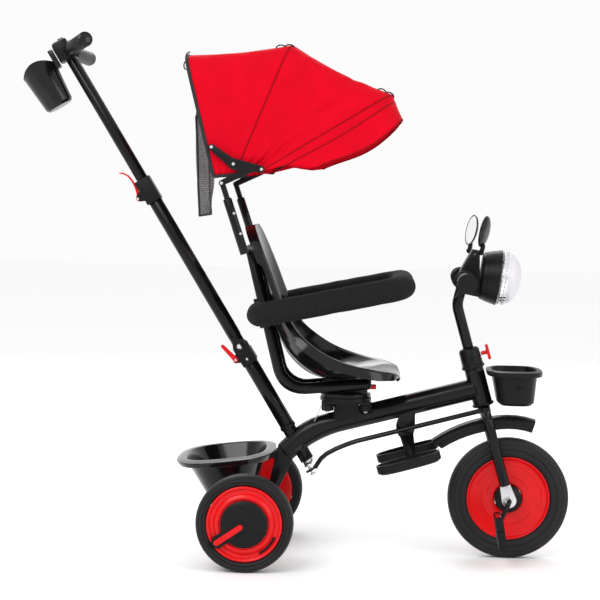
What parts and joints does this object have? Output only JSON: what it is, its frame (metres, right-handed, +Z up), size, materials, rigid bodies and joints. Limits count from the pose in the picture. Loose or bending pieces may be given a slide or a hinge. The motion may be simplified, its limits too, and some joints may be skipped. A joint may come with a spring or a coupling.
{
  "type": "children's tricycle",
  "caption": "Children's tricycle with a steering push pole, swivel bucket seat, padded armrest loop, folding canopy, pedals, footrest, lamp and baskets.",
  "frame": {"origin": "on the floor under the middle of the overall box", "axes": "+X forward to the front wheel, +Y to the rider's left, +Z up"},
  "size_m": [1.099, 0.481, 1.021],
  "materials": {
    "black_paint": "gloss powder coat",
    "red_plastic": "gloss moulded",
    "black_plastic": "satin moulded",
    "gloss_black": "gloss moulded",
    "tyre_rubber": "matte",
    "foam": "fine closed-cell foam",
    "canopy_fabric": "coated polyester",
    "bag_mesh": "open mesh",
    "steel": "zinc plated",
    "clear_lens": "clear"
  },
  "bodies": {
    "frame": {"main_tube": "black_paint", "head_tube": "black_paint", "head_collar": "black_plastic", "rear_bracket": "black_paint", "seat_base": "black_plastic", "brake_cover_right": "black_plastic", "brake_cover_left": "black_plastic", "front_basket": "black_plastic", "rear_basket": "gloss_black"},
    "steering": {"fork": "black_paint", "handlebar": "black_paint", "handlebar_grip_right": "black_plastic", "handlebar_grip_left": "black_plastic", "fender": "black_plastic", "lamp_housing": "black_plastic", "lamp_lens": "clear_lens", "mirror_right": "black_plastic", "mirror_left": "black_plastic"},
    "front_wheel": {"front_tyre": "tyre_rubber", "front_disc": "red_plastic", "front_hub": "black_plastic", "crank_axle": "steel"},
    "right_pedal": {"pedal_right": "black_plastic"},
    "left_pedal": {"pedal_left": "black_plastic"},
    "right_rear_wheel": {"rear_tyre_right": "tyre_rubber", "rear_wheel_right": "red_plastic"},
    "left_rear_wheel": {"rear_tyre_left": "tyre_rubber", "rear_wheel_left": "red_plastic"},
    "right_brake_lever": {"brake_lever_right": "red_plastic"},
    "left_brake_lever": {"brake_lever_left": "red_plastic"},
    "lock_knob": {"steering_lock_knob": "red_plastic"},
    "footrest": {"footrest_post": "black_paint", "foot_tray_right": "black_plastic", "foot_tray_left": "black_plastic"},
    "rod": {"steering_rod": "black_paint"},
    "lower_pole": {"steering_shaft": "steel", "pole_lower_tube": "black_paint", "fold_bracket": "black_plastic"},
    "latch": {"fold_latch": "red_plastic"},
    "middle_pole": {"pole_middle_tube": "black_paint", "pole_clamp": "black_plastic"},
    "pole_clamp_lever": {"clamp_lever": "red_plastic"},
    "upper_pole": {"pole_upper_tube": "black_paint", "push_handle": "black_plastic", "cup_holder": "gloss_black"},
    "seat": {"turntable_top": "black_paint", "seat_frame": "black_paint", "seat_shell": "gloss_black"},
    "swivel_tab": {"swivel_lock_tab": "red_plastic"},
    "armrest": {"armrest_tube": "black_paint", "armrest_foam": "foam"},
    "canopy": {"canopy_arm_right": "black_plastic", "canopy_arm_left": "black_plastic", "canopy_rear_panel": "canopy_fabric", "canopy_front_panel": "canopy_fabric", "mesh_bag": "bag_mesh", "canopy_rib_rear": "black_paint", "canopy_rib_mid": "black_paint"},
    "canopy_front": {"canopy_rib_front": "black_paint", "canopy_visor": "canopy_fabric"}
  },
  "joints": [
    {"name": "steer", "type": "hinge", "parent": "frame", "child": "steering", "pos_m": [0.43, 0, 0.12], "axis": [-0.2756, 0, 0.9613], "range_deg": [-22, 22]},
    {"name": "front_wheel_spin", "type": "hinge", "parent": "steering", "child": "front_wheel", "pos_m": [0.43, 0, 0.12], "axis": [0, 1, 0], "continuous": true},
    {"name": "pedal_right_spin", "type": "hinge", "parent": "front_wheel", "child": "right_pedal", "pos_m": [0.4091, -0.108, 0.0713], "axis": [0, 1, 0], "continuous": true},
    {"name": "pedal_left_spin", "type": "hinge", "parent": "front_wheel", "child": "left_pedal", "pos_m": [0.4509, 0.108, 0.1687], "axis": [0, 1, 0], "continuous": true},
    {"name": "rear_wheel_right_spin", "type": "hinge", "parent": "frame", "child": "right_rear_wheel", "pos_m": [-0.081, -0.21, 0.093], "axis": [0, 1, 0], "continuous": true},
    {"name": "rear_wheel_left_spin", "type": "hinge", "parent": "frame", "child": "left_rear_wheel", "pos_m": [-0.081, 0.21, 0.093], "axis": [0, 1, 0], "continuous": true},
    {"name": "brake_lever_right_flip", "type": "hinge", "parent": "frame", "child": "right_brake_lever", "pos_m": [-0.0831, -0.2359, 0.0916], "axis": [-0.565, 0, 0.8251], "range_deg": [0, 35]},
    {"name": "brake_lever_left_flip", "type": "hinge", "parent": "frame", "child": "left_brake_lever", "pos_m": [-0.0831, 0.2359, 0.0916], "axis": [0.565, 0, -0.8251], "range_deg": [0, 35]},
    {"name": "steering_lock_turn", "type": "hinge", "parent": "frame", "child": "lock_knob", "pos_m": [0.3494, 0, 0.4012], "axis": [0.9613, 0, 0.2756], "range_deg": [0, 90]},
    {"name": "footrest_fold", "type": "hinge", "parent": "frame", "child": "footrest", "pos_m": [0.223, 0, 0.254], "axis": [0, 1, 0], "range_deg": [0, 60]},
    {"name": "pole_turn", "type": "hinge", "parent": "frame", "child": "lower_pole", "pos_m": [0.03, 0, 0.184], "axis": [-0.5225, 0, 0.8526], "range_deg": [-22, 22]},
    {"name": "rod_pivot", "type": "hinge", "parent": "steering", "child": "rod", "pos_m": [0.3785, -0.04, 0.2998], "axis": [-0.2756, 0, 0.9613], "range_deg": [-22, 22]},
    {"name": "pole_fold", "type": "hinge", "parent": "lower_pole", "child": "middle_pole", "pos_m": [-0.1095, 0, 0.41165], "axis": [0, -1, 0], "range_deg": [0, 75]},
    {"name": "fold_latch_turn", "type": "hinge", "parent": "lower_pole", "child": "latch", "pos_m": [-0.1166, -0.0198, 0.385], "axis": [0, -1, 0], "range_deg": [0, 40]},
    {"name": "pole_telescope", "type": "slide", "parent": "middle_pole", "child": "upper_pole", "axis": [-0.5225, 0, 0.8526], "range_m": [-0.16, 0.05]},
    {"name": "clamp_lever_open", "type": "hinge", "parent": "middle_pole", "child": "pole_clamp_lever", "pos_m": [-0.3168, 0, 0.7021], "axis": [0, -1, 0], "range_deg": [0, 90]},
    {"name": "seat_swivel", "type": "hinge", "parent": "frame", "child": "seat", "pos_m": [0.103, 0, 0.32], "axis": [0, 0, 1], "range_deg": [0, 90]},
    {"name": "swivel_tab_push", "type": "slide", "parent": "seat", "child": "swivel_tab", "axis": [1, 0, 0], "range_m": [0, 0.008], "stiffness_N_per_m": 60},
    {"name": "armrest_lift", "type": "hinge", "parent": "seat", "child": "armrest", "pos_m": [-0.066, 0, 0.484], "axis": [0, -1, 0], "range_deg": [0, 45]},
    {"name": "canopy_height", "type": "slide", "parent": "seat", "child": "canopy", "axis": [-0.319, 0, 0.9478], "range_m": [-0.02, 0.05]},
    {"name": "canopy_fold", "type": "hinge", "parent": "canopy", "child": "canopy_front", "pos_m": [-0.1155, 0, 0.7716], "axis": [0, -1, 0], "range_deg": [0, 30], "deforming": ["canopy_front_panel"]}
  ],
  "couplings": [
    {"joint": "pole_turn", "follows": "steer", "ratio": 1},
    {"joint": "rod_pivot", "follows": "steer", "ratio": -1}
  ]
}
